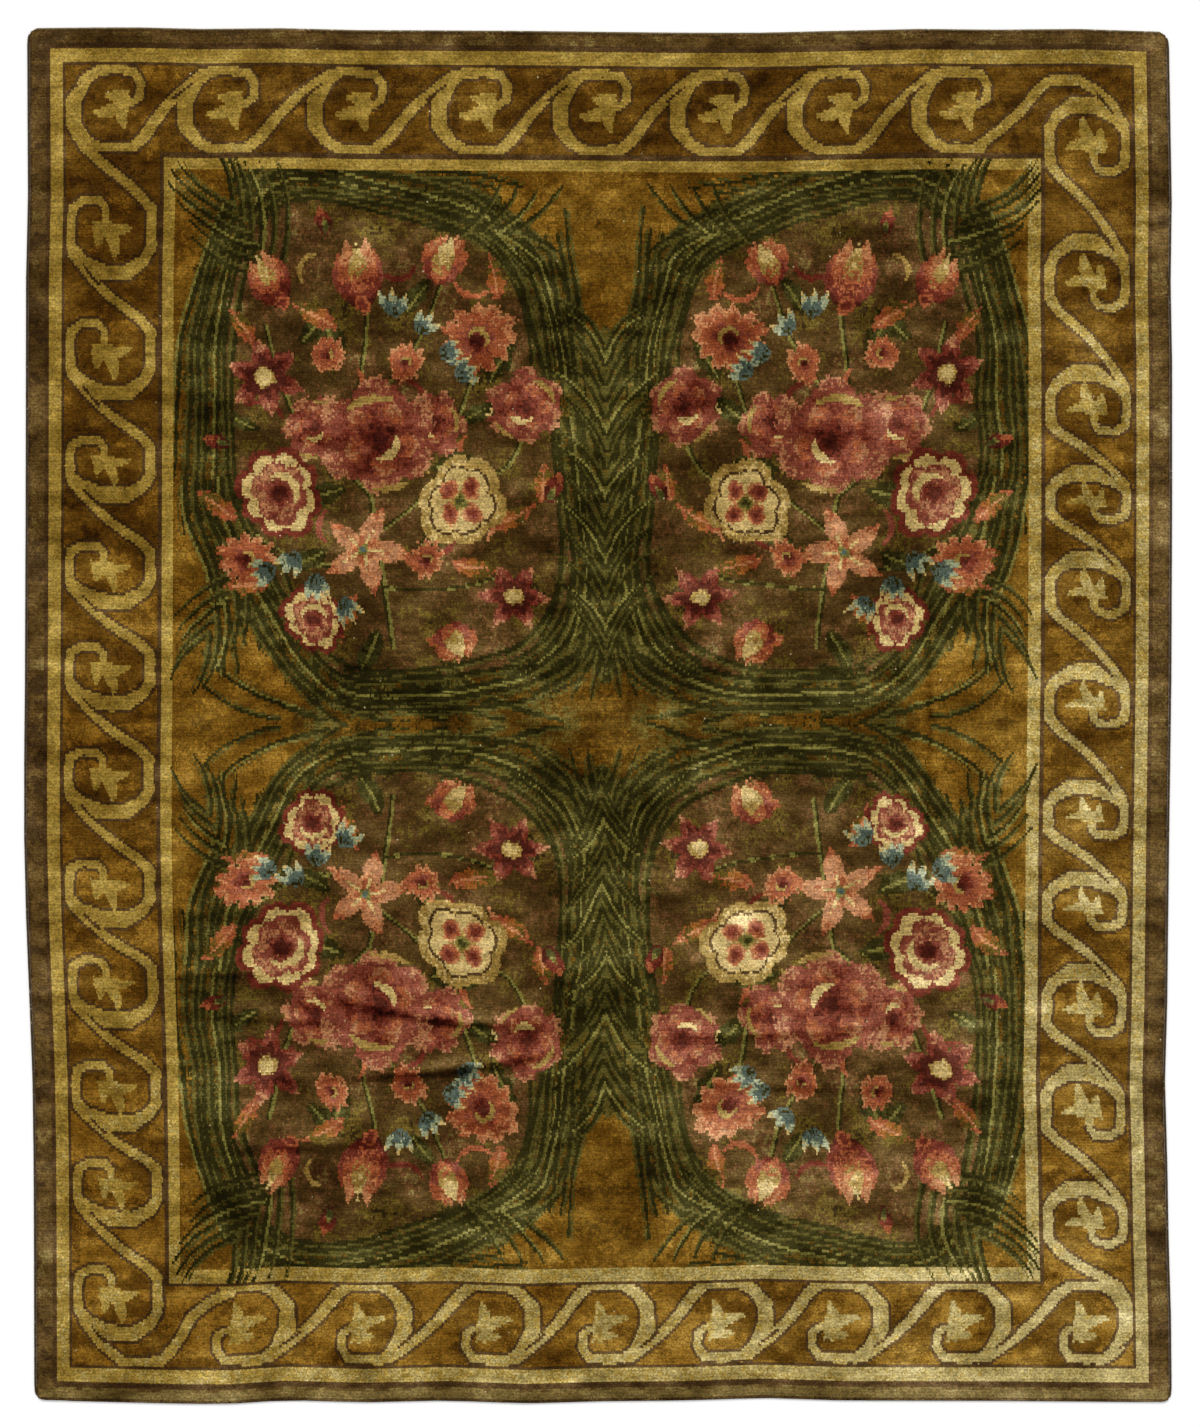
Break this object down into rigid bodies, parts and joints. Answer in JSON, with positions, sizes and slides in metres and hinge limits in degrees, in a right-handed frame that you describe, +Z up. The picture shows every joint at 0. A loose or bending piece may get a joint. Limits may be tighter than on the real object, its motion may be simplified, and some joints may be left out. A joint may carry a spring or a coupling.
{
  "type": "handwoven rug",
  "caption": "Large handwoven wool pile rug lying flat, with a scrolling leaf border, a dark floral field, turned-under ends and overcast side cords.",
  "frame": {"origin": "under the middle of the rug, on the floor it lies on", "axes": "+Y along the rug's length towards its top end, +X to its right side, +Z up out of the pile"},
  "size_m": [3.062, 3.674, 0.0174],
  "materials": {
    "pile": "hand-knotted wool pile with a soft velvety nap",
    "selvedge": "dark overcast wool cord"
  },
  "bodies": {
    "root": {"rug_body": "pile", "selvedge_left": "selvedge", "selvedge_right": "selvedge"}
  },
  "joints": []
}
